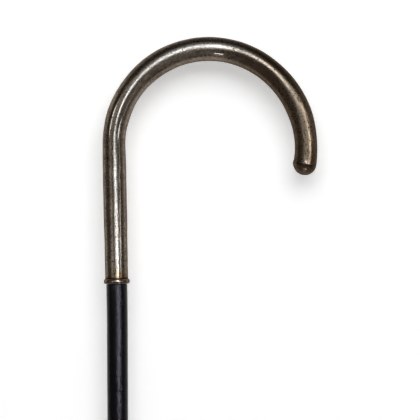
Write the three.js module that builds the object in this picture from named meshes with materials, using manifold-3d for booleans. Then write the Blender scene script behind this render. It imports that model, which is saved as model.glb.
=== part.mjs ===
// A slim walking stick: a bent tube handle in silver-plated metal, closed by a domed cap and finished by a
// half-round bead at its mouth, on a tapered ebonised shaft with a shod brass ferrule at its foot.
//
// Millimetres, +Z up. The origin is the middle of the ferrule's flat foot, and the shaft rises along +Z.
// The crook lies in the XZ plane and opens towards +X.
import * as THREE from "three";
import { mergeVertices } from "three/addons/utils/BufferGeometryUtils.js";
import Module from "manifold-3d";

const wasm = await Module();
wasm.setup();

// Driving dimensions of the stick
const shoulderHeight = 741; // from the ground to the shoulder that the handle sits on
const leanDeg = 0.92; // how far the handle leans back from the shaft
const bowLength = 26; // stretch of shaft under the shoulder that bows into that lean

// The handle's centreline: a straight neck, then a bend that opens out a little past its crown
const neckLength = 83.4;
const bendRadius = 57.3;
const bendSweepDeg = 121;
const tailRadius = 60.2;
const tailSweepDeg = 69.3;

// Outside diameters of the drawn tube, from its mouth to its tip
const mouthDiameter = 13.9;
const neckDiameter = 14.25;
const springDiameter = 13.95; // where the bend starts
const rippleDiameter = 14.5; // just past that, where the bending left a slight ripple
const haunchDiameter = 14.05;
const shoulderDiameter = 14.75;
const crownDiameter = 14.6;
const waistDiameter = 13.75; // behind the cap
const tipDiameter = 14.05;
const tubeWall = 0.8;

// Where along the neck, and then along the bend, each of those diameters is reached
const neckShares = [0, 0.27, 0.5, 0.86];
const neckDiameters = [mouthDiameter, mouthDiameter, neckDiameter, neckDiameter];
const bendShares = [0, 0.045, 0.095, 0.185, 0.31, 0.405, 0.815, 0.925, 0.965, 1];
const bendDiameters = [
  springDiameter,
  springDiameter,
  rippleDiameter,
  haunchDiameter,
  shoulderDiameter,
  crownDiameter,
  crownDiameter,
  waistDiameter,
  waistDiameter,
  tipDiameter,
];

// Domed cap that closes the tube's tip
const domeHeight = 6.7;
const capWall = 0.8;
const capSpigotLength = 4;

// Half-round bead round the tube's mouth
const beadHeight = 3;
const beadProjection = 0.65;
const beadBack = 0.1; // thickness of the strip that the half round stands on

// Setting of the handle: the shaft's tenon, an iron rod and the filling cast round it
const tenonLength = 48;
const tenonChamfer = 1;
const rodDiameter = 5;
const rodInTenon = 32;
const rodInFilling = 22;
const rodChamfer = 0.6;

// Shaft
const shaftTopDiameter = 12.8;
const shaftFootDiameter = 11.4; // where it meets the ferrule
const shaftEdge = 0.3; // chamfer of the wood's turned ends

// Ferrule: a tapered brass sleeve, a steel tip with a spigot, and two pins
const ferruleHeight = 38; // from the ground to the sleeve's top rim
const sleeveTopDiameter = 11.8;
const sleeveBottomDiameter = 9.8;
const sleeveWall = 0.6;
const sleeveRimBevel = 0.25;
const tipHeight = 5; // steel that shows under the sleeve
const tipEdgeRadius = 1.4;
const tipSpigotHeight = 4;
const pinDiameter = 1.5;
const pinLength = 4;
const pinPoint = 1;
const pinHeadDiameter = 2.6;
const pinHeadHeight = 0.5;
const pinDrop = 7; // from the sleeve's top rim down to the pins

// Clearances
const cementGap = 0.25; // filled with cement or pitch on the real stick
const seamGap = 0.2; // closed by solder or by pressing home
const pinGap = 0.2;
const overrun = 1; // how far a cutting tool passes the face that it cuts

// Fineness of the facets
const tubeSides = 24;
const fillingSides = 16;
const turnedSides = 32;
const pinSides = 16;
const neckSteps = 7;
const bendSteps = 38;
const bowSteps = 6;
const domeSteps = 6;
const beadSteps = 8;
const edgeSteps = 3;
const headSteps = 3;

const lean = THREE.MathUtils.degToRad(leanDeg);
const bendLength = bendRadius * THREE.MathUtils.degToRad(bendSweepDeg);
const tailLength = tailRadius * THREE.MathUtils.degToRad(tailSweepDeg);
const tubeLength = neckLength + bendLength + tailLength;

const plate = new THREE.MeshStandardMaterial({ color: 0x8f8678, roughness: 0.3, metalness: 1 });
const solderedPlate = new THREE.MeshStandardMaterial({ color: 0x7d7466, roughness: 0.35, metalness: 1 });
const pitch = new THREE.MeshStandardMaterial({ color: 0x2b1d14, roughness: 0.7, metalness: 0 });
const iron = new THREE.MeshStandardMaterial({ color: 0x4a4642, roughness: 0.6, metalness: 1 });
const ebonised = new THREE.MeshStandardMaterial({ color: 0x0d0c0f, roughness: 0.34, metalness: 0 });
const brass = new THREE.MeshStandardMaterial({ color: 0x9a7c42, roughness: 0.4, metalness: 1 });
const steel = new THREE.MeshStandardMaterial({ color: 0x6b6a68, roughness: 0.45, metalness: 1 });

// Equal steps from one value to another, both ends included.
function spaced(from, to, steps) {
  return Array.from({ length: steps + 1 }, (_, i) => from + ((to - from) * i) / steps);
}

// Follows a centreline of straight runs and arcs, each { length, radius }, out to a distance along it.
// Gives the x and z reached and how far the line has turned from +Z towards +X. Past its last run it goes
// straight on, and before its first it starts straight.
function along(runs, distance) {
  const place = { x: 0, z: Math.min(distance, 0), turn: 0 };
  let left = Math.max(distance, 0);
  for (const { length, radius } of [...runs, { length: Infinity, radius: Infinity }]) {
    const walked = Math.min(left, length);
    const turned = walked / radius;
    const chord = turned === 0 ? walked : 2 * radius * Math.sin(turned / 2);
    place.x += chord * Math.sin(place.turn + turned / 2);
    place.z += chord * Math.cos(place.turn + turned / 2);
    place.turn += turned;
    left -= walked;
  }
  return place;
}

// The handle's centreline by distance from the tube's mouth, and the shaft's by height from the ground.
const handleLine = (distance) =>
  along(
    [
      { length: neckLength, radius: Infinity },
      { length: bendLength, radius: bendRadius },
      { length: tailLength, radius: tailRadius },
    ],
    distance,
  );
const shaftLine = (height) =>
  along(
    [
      { length: shoulderHeight - bowLength, radius: Infinity },
      { length: bowLength, radius: -bowLength / lean },
    ],
    height,
  );
const straightLine = (distance) => along([], distance);

// Turns a profile of [radius, distance] points round an axis, and bends that axis along a centreline.
// A profile starts and ends on the axis, or its last point repeats its first.
function turnedAlong(line, sides, profile) {
  const points = profile.map(([radius, at]) => new THREE.Vector2(radius, at));
  const geometry = new THREE.LatheGeometry(points, sides);
  const places = geometry.getAttribute("position");
  for (let i = 0; i < places.count; i++) {
    const across = places.getX(i);
    const { x, z, turn } = line(places.getY(i));
    places.setXYZ(i, x + across * Math.cos(turn), -places.getZ(i), z - across * Math.sin(turn));
  }
  geometry.computeVertexNormals();
  return geometry;
}

// Points [radius, distance] of an elliptical arc about a centre, from one angle to another.
function arcPoints(centreRadius, centreAt, width, height, fromDeg, toDeg, steps) {
  return spaced(fromDeg, toDeg, steps).map((deg) => {
    const angle = THREE.MathUtils.degToRad(deg);
    return [centreRadius + width * Math.cos(angle), centreAt + height * Math.sin(angle)];
  });
}

// Outside radius of the tube at a distance from its mouth, smooth between the places where it is set.
const stations = [
  ...neckShares.map((share, i) => [neckLength * share, neckDiameters[i] / 2]),
  ...bendShares.map((share, i) => [neckLength + (tubeLength - neckLength) * share, bendDiameters[i] / 2]),
];
function tubeRadius(distance) {
  const next = Math.max(1, stations.findIndex(([at]) => at >= Math.min(distance, tubeLength)));
  const [fromAt, fromRadius] = stations[next - 1];
  const [toAt, toRadius] = stations[next];
  return THREE.MathUtils.lerp(fromRadius, toRadius, THREE.MathUtils.smoothstep(distance, fromAt, toAt));
}
const boreRadius = (distance) => tubeRadius(distance) - tubeWall;

// Distances along the tube at which its facets have a ring, between two distances.
function rings(from, to) {
  const inNeck = spaced(0, neckLength, neckSteps);
  const inBend = spaced(neckLength, tubeLength, bendSteps);
  return [from, ...[...inNeck, ...inBend.slice(1)].filter((at) => at > from && at < to), to];
}

const sleeveBottom = tipHeight + seamGap;
const sleeveRadius = (height) =>
  THREE.MathUtils.mapLinear(height, sleeveBottom, ferruleHeight, sleeveBottomDiameter, sleeveTopDiameter) / 2;
const sleeveBore = (height) => sleeveRadius(height) - sleeveWall;
const pinHeight = ferruleHeight - pinDrop;

// Takes cutters out of a geometry.
function cut(geometry, cutters) {
  const left = cutters.reduce((solid, cutter) => solid.subtract(solidOf(cutter)), solidOf(geometry));
  const { vertProperties, triVerts } = left.getMesh();
  const made = new THREE.BufferGeometry();
  made.setAttribute("position", new THREE.BufferAttribute(vertProperties, 3));
  made.setIndex(new THREE.BufferAttribute(triVerts, 1));
  made.computeVertexNormals();
  return made;
}

function solidOf(geometry) {
  const bare = geometry.clone();
  bare.deleteAttribute("normal");
  bare.deleteAttribute("uv");
  const merged = mergeVertices(bare);
  const vertProperties = merged.getAttribute("position").array;
  const triVerts = new Uint32Array(merged.index.array);
  return new wasm.Manifold(new wasm.Mesh({ numProp: 3, vertProperties, triVerts }));
}

// The handle's tube, open at its mouth and its tip, with a bore that follows its outside.
function crookTube() {
  const places = rings(0, tubeLength);
  const outside = places.map((at) => [tubeRadius(at), at]);
  const bore = places.map((at) => [boreRadius(at), at]).reverse();
  return turnedAlong(handleLine, tubeSides, [...outside, ...bore, outside[0]]);
}

// A pressed dome whose spigot sits in the tube's tip.
const spigotEnd = tubeLength - capSpigotLength;
function endCap() {
  const seat = tubeLength + seamGap;
  const spigotRadius = Math.min(boreRadius(spigotEnd), boreRadius(tubeLength)) - seamGap;
  const hollowRadius = spigotRadius - capWall;
  const profile = [
    [hollowRadius, spigotEnd],
    [spigotRadius, spigotEnd],
    [spigotRadius, seat],
    ...arcPoints(0, seat, tipDiameter / 2, domeHeight, 0, 90, domeSteps),
    ...arcPoints(0, seat, hollowRadius, domeHeight - capWall, 90, 0, domeSteps),
    [hollowRadius, spigotEnd],
  ];
  return turnedAlong(handleLine, tubeSides, profile);
}

// A half round on a thin strip, wrapped round the tube's mouth and flush with its rim.
function mouthBead() {
  const inside = Math.max(tubeRadius(0), tubeRadius(beadHeight)) + seamGap;
  const middle = beadHeight / 2;
  const profile = [
    [inside, 0],
    ...arcPoints(inside + beadBack, middle, beadProjection, middle, -90, 90, beadSteps),
    [inside, beadHeight],
    [inside, 0],
  ];
  return turnedAlong(handleLine, turnedSides, profile);
}

// What is cast into the handle: it fills the bore from the tenon to the cap, round the rod's upper end.
const fillingStart = tenonLength + cementGap;
const rodTop = tenonLength + rodInFilling;
function crookFilling() {
  const socket = rodDiameter / 2 + cementGap;
  const outside = rings(fillingStart, spigotEnd - cementGap).map((at) => [boreRadius(at) - cementGap, at]);
  const profile = [
    [0, rodTop + cementGap],
    [socket, rodTop + cementGap],
    [socket, fillingStart],
    ...outside,
    [0, spigotEnd - cementGap],
  ];
  return turnedAlong(handleLine, fillingSides, profile);
}

// The iron rod that ties the handle to the tenon.
function coreRod() {
  const radius = rodDiameter / 2;
  const bottom = tenonLength - rodInTenon;
  const profile = [
    [0, bottom],
    [radius - rodChamfer, bottom],
    [radius, bottom + rodChamfer],
    [radius, rodTop - rodChamfer],
    [radius - rodChamfer, rodTop],
    [0, rodTop],
  ];
  return turnedAlong(handleLine, fillingSides, profile);
}

// The wooden shaft: turned down at its foot for the ferrule, tapered, bowed back under its shoulder, and
// turned down again to a tenon that is bored for the rod. The ferrule's pins go into two pilot holes.
function shaft() {
  const foot = tipHeight + tipSpigotHeight + cementGap;
  const footShoulder = ferruleHeight + cementGap;
  const seatRadius = (height) => sleeveBore(height) - cementGap;
  const tenonRadius = Math.min(boreRadius(0), boreRadius(tenonLength)) - cementGap;
  const tenonTop = shoulderHeight + tenonLength;
  const rodSocket = rodDiameter / 2 + cementGap;
  const rodFloor = tenonTop - rodInTenon - cementGap;
  const bow = spaced(shoulderHeight - bowLength, shoulderHeight, bowSteps).slice(0, -1);
  const taper = (height) =>
    THREE.MathUtils.mapLinear(height, footShoulder, shoulderHeight, shaftFootDiameter, shaftTopDiameter) / 2;
  const shoulder = shoulderHeight - cementGap;
  const profile = [
    [0, foot],
    [seatRadius(foot) - shaftEdge, foot],
    [seatRadius(foot + shaftEdge), foot + shaftEdge],
    [seatRadius(footShoulder), footShoulder],
    [taper(footShoulder) - shaftEdge, footShoulder],
    [taper(footShoulder), footShoulder + shaftEdge],
    ...bow.map((height) => [taper(height), height]),
    [taper(shoulder), shoulder - shaftEdge],
    [taper(shoulder) - shaftEdge, shoulder],
    [tenonRadius, shoulder],
    [tenonRadius, tenonTop - tenonChamfer],
    [tenonRadius - tenonChamfer, tenonTop],
    [rodSocket, tenonTop],
    [rodSocket, rodFloor],
    [0, rodFloor],
  ];
  return cut(turnedAlong(shaftLine, turnedSides, profile), pinHoles());
}

// A tapered brass sleeve with an eased top rim.
function ferruleSleeve() {
  const rim = ferruleHeight - sleeveRimBevel;
  const profile = [
    [sleeveBore(sleeveBottom), sleeveBottom],
    [sleeveRadius(sleeveBottom), sleeveBottom],
    [sleeveRadius(rim), rim],
    [sleeveRadius(ferruleHeight) - sleeveRimBevel, ferruleHeight],
    [sleeveBore(ferruleHeight), ferruleHeight],
    [sleeveBore(sleeveBottom), sleeveBottom],
  ];
  return cut(turnedAlong(straightLine, turnedSides, profile), pinHoles());
}

// The steel tip: a flat foot with a rounded edge, and a spigot up into the sleeve.
function ferruleTip() {
  const radius = sleeveRadius(sleeveBottom);
  const spigotRadius = sleeveBore(sleeveBottom) - seamGap;
  const profile = [
    [0, 0],
    ...arcPoints(radius - tipEdgeRadius, tipEdgeRadius, tipEdgeRadius, tipEdgeRadius, -90, 0, edgeSteps),
    [radius, tipHeight],
    [spigotRadius, tipHeight],
    [spigotRadius, tipHeight + tipSpigotHeight],
    [0, tipHeight + tipSpigotHeight],
  ];
  return turnedAlong(straightLine, turnedSides, profile);
}

// A ferrule pin along +Z, with its head above the origin and its point below it.
function pin() {
  const radius = pinDiameter / 2;
  const headRadius = pinHeadDiameter / 2;
  const profile = [
    [0, -pinLength],
    [radius, pinPoint - pinLength],
    [radius, 0],
    ...arcPoints(0, 0, headRadius, pinHeadHeight, 0, 90, headSteps),
  ];
  return turnedAlong(straightLine, pinSides, profile);
}

// Where the pins sit: on the sleeve, in front of the shaft and behind it, pointing inwards.
const pinSeats = [-1, 1].map((side) => {
  const seat = new THREE.Object3D();
  seat.position.set(0, side * (sleeveRadius(pinHeight) + pinGap), pinHeight);
  seat.rotation.x = (-side * Math.PI) / 2;
  seat.updateMatrix();
  return seat;
});

// Holes that the pins pass through, a clearance wider and deeper than their shanks.
function pinHoles() {
  const radius = pinDiameter / 2 + pinGap;
  const bottom = -pinLength - pinGap;
  return pinSeats.map(({ matrix }) => {
    const hole = [[0, bottom], [radius, bottom], [radius, overrun], [0, overrun]];
    return turnedAlong(straightLine, pinSides, hole).applyMatrix4(matrix);
  });
}

function piece(name, geometry, material) {
  const mesh = new THREE.Mesh(geometry, material);
  mesh.name = name;
  return mesh;
}

// The handle leans back from the shaft about the middle of the tube's mouth.
const handle = new THREE.Group();
const shoulderPlace = shaftLine(shoulderHeight);
handle.position.set(shoulderPlace.x, 0, shoulderPlace.z);
handle.rotation.y = shoulderPlace.turn;
handle.add(
  piece("crook_tube", crookTube(), plate),
  piece("end_cap", endCap(), plate),
  piece("mouth_bead", mouthBead(), solderedPlate),
  piece("crook_filling", crookFilling(), pitch),
  piece("core_rod", coreRod(), iron),
);

const ferrule = new THREE.Group();
ferrule.add(piece("ferrule_sleeve", ferruleSleeve(), brass), piece("ferrule_tip", ferruleTip(), steel));
["ferrule_pin_front", "ferrule_pin_back"].forEach((name, i) => {
  const mesh = piece(name, pin(), brass);
  mesh.position.copy(pinSeats[i].position);
  mesh.quaternion.copy(pinSeats[i].quaternion);
  ferrule.add(mesh);
});

const stick = new THREE.Group();
stick.add(handle, piece("shaft", shaft(), ebonised), ferrule);

export default stick;
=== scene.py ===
"""A slim walking stick: a tarnished, silver-plated crook handle on an ebonised shaft with a brass ferrule.

Every length is in metres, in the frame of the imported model: the origin is the middle of the ferrule's flat
foot, the shaft rises along +Z, and the crook lies in the XZ plane and opens towards +X.
"""

import logging
import math
from collections.abc import Callable, Sequence
from dataclasses import dataclass, field
from enum import Enum

import bmesh
import bpy
from mathutils import Matrix, Vector, noise

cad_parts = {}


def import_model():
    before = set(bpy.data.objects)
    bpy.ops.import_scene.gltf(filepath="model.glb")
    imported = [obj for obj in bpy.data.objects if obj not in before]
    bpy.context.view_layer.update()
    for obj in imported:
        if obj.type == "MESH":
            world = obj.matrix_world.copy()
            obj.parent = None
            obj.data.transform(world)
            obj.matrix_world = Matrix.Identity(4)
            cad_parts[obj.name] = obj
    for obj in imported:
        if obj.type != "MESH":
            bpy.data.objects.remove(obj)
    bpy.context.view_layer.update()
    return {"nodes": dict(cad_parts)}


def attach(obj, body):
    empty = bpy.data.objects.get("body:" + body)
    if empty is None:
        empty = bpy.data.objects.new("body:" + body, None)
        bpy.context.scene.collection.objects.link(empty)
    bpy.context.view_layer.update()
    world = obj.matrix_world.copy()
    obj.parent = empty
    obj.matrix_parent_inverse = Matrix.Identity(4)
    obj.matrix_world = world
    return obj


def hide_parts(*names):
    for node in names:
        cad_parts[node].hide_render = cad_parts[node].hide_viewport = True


MM = 0.001
BODY = "root"
UNBENT = "unbent"  # attribute: where a point lay before its piece was bent, in metres
LENGTHWISE = "lengthwise"  # attribute: which way the piece's centreline runs beside a point
WELD = 0.001 * MM  # points as near as this are one
SAME_PLACE = 0.0001 * MM  # distances as near as this share a place on a centreline
SMOOTH = {"interpolation_type": "SMOOTHSTEP"}  # makes a Map Range node start and end gently
COLOURS = {"data_type": "RGBA"}  # makes a Mix node mix colours, from its inputs 6 and 7

log = logging.getLogger("walking_stick")

Colour = tuple[float, float, float, float]
Span = tuple[float, float]
Fit = tuple[float, float, float, float]  # two levels, and what they become
Source = bpy.types.Node | bpy.types.NodeSocket
Profile = list[tuple[float, float]]
Shape = Callable[[float, float], float]  # from an angle and a distance along a piece to a change of radius


class Slot(Enum):
    """The record's material slots; each new piece is given one, which nothing here applies."""

    HANDLE = "handle_plate"
    WOOD = "ebonised_wood"
    BRASS = "ferrule_brass"
    STEEL = "ferrule_steel"


def linear(code: str) -> Colour:
    """Turns an sRGB colour into the linear one that a shader takes.

    Args:
        code: The colour as six hex digits after a hash.

    Returns:
        Linear red, green and blue, and full alpha.
    """
    channels = [int(code[i : i + 2], 16) / 255 for i in (1, 3, 5)]
    red, green, blue = (c / 12.92 if c <= 0.04045 else ((c + 0.055) / 1.055) ** 2.4 for c in channels)
    return red, green, blue, 1.0


def grey(level: float) -> Colour:
    """Gives a linear grey with full alpha."""
    return level, level, level, 1.0


def add_node(
    tree: bpy.types.NodeTree,
    kind: str,
    inputs: dict[str | int, object] | Sequence[object] = (),
    **settings: object,
) -> bpy.types.Node:
    """Adds a node, gives it its settings, and links or fills its inputs.

    Args:
        tree: The node tree that gets the node.
        kind: The node's type after its leading ShaderNode, such as Mix.
        inputs: What its inputs take, in order, or by name or number: a value to fill in, a socket to link
            from, or a node, whose first output in use is linked.
        **settings: Attributes to set on the node. A ramp is the stops of its colour ramp.

    Returns:
        The new node.
    """
    node = tree.nodes.new(f"ShaderNode{kind}")
    for name, value in settings.items():
        if name == "ramp":
            stops = node.color_ramp.elements
            while len(stops) < len(value):
                stops.new(1.0)
            for stop, (position, colour) in zip(stops, value):
                stop.position = position
                stop.color = colour
        else:
            setattr(node, name, value)
    named_inputs = inputs.items() if isinstance(inputs, dict) else enumerate(inputs)
    for name, value in named_inputs:
        if isinstance(value, bpy.types.Node):
            value = next(output for output in value.outputs if output.enabled)
        if isinstance(value, bpy.types.NodeSocket):
            tree.links.new(value, node.inputs[name])
        else:
            node.inputs[name].default_value = value
    return node


def new_material(name: str) -> tuple[bpy.types.Material, bpy.types.NodeTree, bpy.types.Node]:
    """Starts a material with nothing but its output.

    Args:
        name: The material's name.

    Returns:
        The material, its node tree and its output node.
    """
    material = bpy.data.materials.new(name)
    material.use_nodes = True
    material.node_tree.nodes.clear()
    output = add_node(material.node_tree, "OutputMaterial")
    return material, material.node_tree, output


@dataclass(frozen=True)
class Spots:
    """Round dark spots of many sizes, on a share of the places for them, which lie about a spacing apart."""

    spacing_mm: float
    crowd: Fit  # from a noise to that share
    crowd_at_ends: float  # how much larger the share is by the mouth and by the tip
    reach: float  # the largest spot's radius, as a share of the spacing
    least: float = 0.001  # the smallest one's
    growth: float = 12.0  # how soon a spot is full-sized as its place's random draw falls under the share
    core: float = 0.45  # the share of its radius that is fully dark

    def scatter(
        self, tree: bpy.types.NodeTree, place: Source, level: Source, at_ends: Source
    ) -> bpy.types.Node:
        """Adds the spots.

        Args:
            tree: The node tree.
            place: Where the surface is, in mm.
            level: The noise that crowds them.
            at_ends: How near the surface is to the mouth or the tip, 0 to 1.

        Returns:
            A node that gives 1 in a spot and 0 outside.
        """
        crowd = add_node(tree, "MapRange", [level, *self.crowd], **SMOOTH)
        crowd = add_node(tree, "Math", [at_ends, self.crowd_at_ends, crowd], operation="MULTIPLY_ADD")
        cells = add_node(tree, "TexVoronoi", {"Vector": place, "Scale": 1 / self.spacing_mm}).outputs
        draw = add_node(tree, "SeparateXYZ", [cells["Color"]]).outputs["X"]
        over = add_node(tree, "Math", [crowd, draw], operation="SUBTRACT")
        grown = add_node(tree, "Math", [over, self.growth], operation="MULTIPLY")
        edge = add_node(tree, "MapRange", [grown, 0.0, 1.0, self.least, self.reach], **SMOOTH)
        core = add_node(tree, "Math", [edge, self.core], operation="MULTIPLY")
        return add_node(tree, "MapRange", [cells["Distance"], edge, core], **SMOOTH)


@dataclass(frozen=True)
class TarnishedPlate:
    """Silver plate over a copper alloy, drawn and bent by hand, then left to tarnish and rubbed in use.

    It gives the eye a warm, dark grey mirror: soft cloudy tarnish that turns olive brown round the tail,
    faint polishing streaks along the tube, many small dark pits, and brassy wear at the mouth. Dirt with
    painted shade darkens the corner at the bead, and painted shade darkens the front of the cap just past the
    seam.

    A pair in mm is two places along the tube, from its mouth, unless a comment says otherwise, and what it
    belongs to grows from the first to the second. An edge is the same for two levels of a noise.
    """

    rubbed: str = "#887c6f"
    clouded: str = "#716559"
    tail: str = "#5b4d3f"
    stain: str = "#3a2d21"
    bare: str = "#b5a998"
    brassy: str = "#80694e"
    pit: str = "#140d08"
    # dirt and painted shade: the colour of the dark corner at the bead and of the painted shade on the cap's
    # front
    grime_and_shade: str = "#2c1c0d"
    edge_tint: float = 0.4
    mouth_mm: Span = (38.0, 6.0)
    tail_mm: Span = (170.0, 215.0)
    tip_mm: Span = (212.0, 245.0)
    noise_roughness: float = 0.6
    cloud_mm: float = 16.0
    cloud_edge: Span = (0.4, 0.8)
    streak_mm: Span = (0.9, 22.0)  # sizes across and along the tube
    streak_weight: float = 0.2  # beside the clouds' 1
    blotch_mm: float = 16.0 / 3
    stain_mm: float = 1.0
    stain_edge: Span = (0.48, 0.62)
    stain_strength: Span = (0.4, 0.62)  # up to the tip, and at the tip
    bare_edge: Span = (0.46, 0.36)
    bare_strength: float = 0.25
    brassy_mm: Span = (13.0, 4.5)
    brassy_edge: Span = (0.35, 0.6)
    # where the corner at the bead is darkened by dirt and by painted shade
    bead_dirt_and_shade_mm: Span = (4.3, 3.3)
    # painted shade on the cap: a ragged dark band on its front, just past the seam, where it turns away from
    # the lamps
    seam_shade_mm: Span | None = None
    seam_shade_front_mm: Fit = (-4.4, -6.3, 0.0, 0.6)  # back from the tube's middle, and how strong there
    seam_shade_ragged_mm: float = 3.0
    pepper: Spots = Spots(1.4, (0.35, 0.7, 0.16, 0.4), 0.52, 0.38)
    pits: Spots = Spots(2.4, (0.4, 0.7, 0.02, 0.2), 0.2, 0.26)
    pit_depth_mm: float = 0.06
    pit_roughness: float = 0.35  # on top of the plate's
    peel_mm: float = 0.9
    peel_depth_mm: float = 0.045
    peel_streaks: float = 0.25  # beside the peel's 1
    tip_peel: float = 0.5  # how strong the peel is at the tip, beside 1 elsewhere
    roughness: Span = (0.3, 0.38)  # where rubbed, and where clouded
    polish: float = 0.97  # the polishing marks run round the tube and draw every gleam out along it
    tip_polish: float = 0.1

    def build(self, name: str, worn_shaded_mouth: bool) -> bpy.types.Material:
        """Makes the material.

        Args:
            name: Its name.
            worn_shaded_mouth: Whether the mouth is worn brassy, with dirt and painted shade in the corner at
                the bead.

        Returns:
            The material.
        """
        material, tree, output = new_material(name)
        marks = self.marks(tree)
        roughness = add_node(tree, "MapRange", [marks["tarnish"], 0.0, 1.0, *self.roughness], **SMOOTH)
        roughness = add_node(
            tree, "Math", [marks["pits"], self.pit_roughness, roughness], operation="MULTIPLY_ADD"
        )
        polish = add_node(
            tree, "MapRange", [marks["along"], *self.tip_mm, self.polish, self.tip_polish], **SMOOTH
        )
        lie = add_node(tree, "Attribute", attribute_name=LENGTHWISE).outputs["Vector"]
        shader = add_node(
            tree,
            "BsdfPrincipled",
            {
                "Base Color": self.colour(tree, marks, worn_shaded_mouth),
                "Metallic": 1.0,
                "Roughness": roughness,
                "Anisotropic": polish,
                "Tangent": lie,
                "Specular Tint": grey(self.edge_tint),
                "Normal": self.relief(tree, marks),
            },
        )
        tree.links.new(shader.outputs[0], output.inputs[0])
        return material

    def marks(self, tree: bpy.types.NodeTree) -> dict[str, Source]:
        """Adds what the colour, the shine and the relief share: the noises, the spots and the places.

        Args:
            tree: The node tree.

        Returns:
            Each one by name.
        """
        place = add_node(tree, "Attribute", attribute_name=UNBENT).outputs["Vector"]
        in_mm = add_node(tree, "VectorMath", {0: place, "Scale": 1 / MM}, operation="SCALE")
        axes = add_node(tree, "SeparateXYZ", [in_mm]).outputs
        across, lengthwise = (1 / size for size in self.streak_mm)
        drawn = add_node(tree, "Mapping", {"Vector": in_mm, "Scale": (across, across, lengthwise)})
        clouds, blotches, streaks, stains, peel = (
            add_node(
                tree,
                "TexNoise",
                {"Vector": where, "Scale": 1 / size, "Detail": detail, "Roughness": self.noise_roughness},
            )
            for where, size, detail in (
                (in_mm, self.cloud_mm, 6.0),
                (in_mm, self.blotch_mm, 4.0),
                (drawn, 1.0, 3.0),
                (in_mm, self.stain_mm, 2.0),
                (in_mm, self.peel_mm, 2.0),
            )
        )
        tarnish = add_node(tree, "Math", [streaks, self.streak_weight, clouds], operation="MULTIPLY_ADD")
        at_mouth, at_tail, at_tip = (
            add_node(tree, "MapRange", [axes["Z"], *span], **SMOOTH)
            for span in (self.mouth_mm, self.tail_mm, self.tip_mm)
        )
        at_ends = add_node(tree, "Math", [at_mouth, at_tip], operation="MAXIMUM")
        pepper = self.pepper.scatter(tree, in_mm, clouds, at_ends)
        pits = self.pits.scatter(tree, in_mm, blotches, at_ends)
        return {
            "along": axes["Z"],
            "backwards": axes["Y"],
            "blotches": blotches,
            "streaks": streaks,
            "stains": stains,
            "peel": peel,
            "tarnish": add_node(tree, "MapRange", [tarnish, *self.cloud_edge], **SMOOTH),
            "at_tail": at_tail,
            "at_tip": at_tip,
            "pits": add_node(tree, "Math", [pepper, pits], operation="MAXIMUM"),
        }

    def colour(
        self, tree: bpy.types.NodeTree, marks: dict[str, Source], worn_shaded_mouth: bool
    ) -> bpy.types.Node:
        """Lays the plate's colours over one another, from the rubbed silver up to the dirt and the painted
        shade.

        Args:
            tree: The node tree.
            marks: The noises, the spots and the places.
            worn_shaded_mouth: Whether the mouth is worn brassy and has dirt and painted shade at the bead.

        Returns:
            The node that gives the colour.
        """
        layers = [(marks["tarnish"], linear(self.clouded)), (marks["at_tail"], linear(self.tail))]
        if worn_shaded_mouth:
            near = add_node(tree, "MapRange", [marks["along"], *self.brassy_mm], **SMOOTH)
            patches = add_node(tree, "MapRange", [marks["blotches"], *self.brassy_edge], **SMOOTH)
            worn = add_node(tree, "Math", [near, patches], operation="MULTIPLY")
            layers.append((worn, linear(self.brassy)))
        strength = add_node(tree, "MapRange", [marks["at_tip"], 0.0, 1.0, *self.stain_strength], **SMOOTH)
        stained = add_node(tree, "MapRange", [marks["stains"], *self.stain_edge], **SMOOTH)
        stained = add_node(tree, "Math", [stained, strength], operation="MULTIPLY")
        layers.append((stained, linear(self.stain)))
        colour = self.layered(tree, linear(self.rubbed), layers)

        bare = self.layered(tree, linear(self.bare), [(marks["at_tail"], colour)])
        bared = add_node(
            tree, "MapRange", [marks["stains"], *self.bare_edge, 0.0, self.bare_strength], **SMOOTH
        )
        layers = [(bared, bare), (marks["pits"], linear(self.pit))]
        if worn_shaded_mouth:
            # Dirt and painted shade: darker in the corner where the tube meets the bead
            dirt_and_shade = add_node(tree, "MapRange", [marks["along"], *self.bead_dirt_and_shade_mm], **SMOOTH)
            layers.append((dirt_and_shade, linear(self.grime_and_shade)))
        # Painted shade: a ragged dark band on the front of the cap, just past the seam
        if self.seam_shade_mm:
            front = add_node(tree, "MapRange", [marks["backwards"], *self.seam_shade_front_mm], **SMOOTH)
            ragged = [marks["blotches"], self.seam_shade_ragged_mm, marks["along"]]
            ragged = add_node(tree, "Math", ragged, operation="MULTIPLY_ADD")
            dirt_and_shade = add_node(tree, "MapRange", [ragged, *self.seam_shade_mm], **SMOOTH)
            dirt_and_shade = add_node(tree, "Math", [front, dirt_and_shade], operation="MULTIPLY")
            layers.append((dirt_and_shade, linear(self.grime_and_shade)))
        return self.layered(tree, colour, layers)

    def relief(self, tree: bpy.types.NodeTree, marks: dict[str, Source]) -> bpy.types.Node:
        """Adds the plate's faint orange peel and the pits in it.

        Args:
            tree: The node tree.
            marks: The noises, the spots and the places.

        Returns:
            The node that gives the normal.
        """
        peel = [marks["streaks"], self.peel_streaks, marks["peel"]]
        peel = add_node(tree, "Math", peel, operation="MULTIPLY_ADD")
        strength = add_node(tree, "MapRange", [marks["at_tip"], 0.0, 1.0, 1.0, self.tip_peel], **SMOOTH)
        rolling = add_node(
            tree, "Bump", {"Strength": strength, "Distance": self.peel_depth_mm * MM, "Height": peel}
        )
        depth = self.pit_depth_mm * MM
        pitted = {"Strength": 1.0, "Distance": depth, "Height": marks["pits"], "Normal": rolling}
        return add_node(tree, "Bump", pitted, invert=True)

    @staticmethod
    def layered(
        tree: bpy.types.NodeTree, base: object, layers: Sequence[tuple[Source, object]]
    ) -> bpy.types.Node:
        """Lays colours over a base.

        Args:
            tree: The node tree.
            base: The colour under them all, or the node that gives it.
            layers: How much of each colour shows, and the colour.

        Returns:
            The node that gives the whole.
        """
        for cover, colour in layers:
            base = add_node(tree, "Mix", {"Factor": cover, 6: base, 7: colour}, **COLOURS)
        return base


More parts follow.
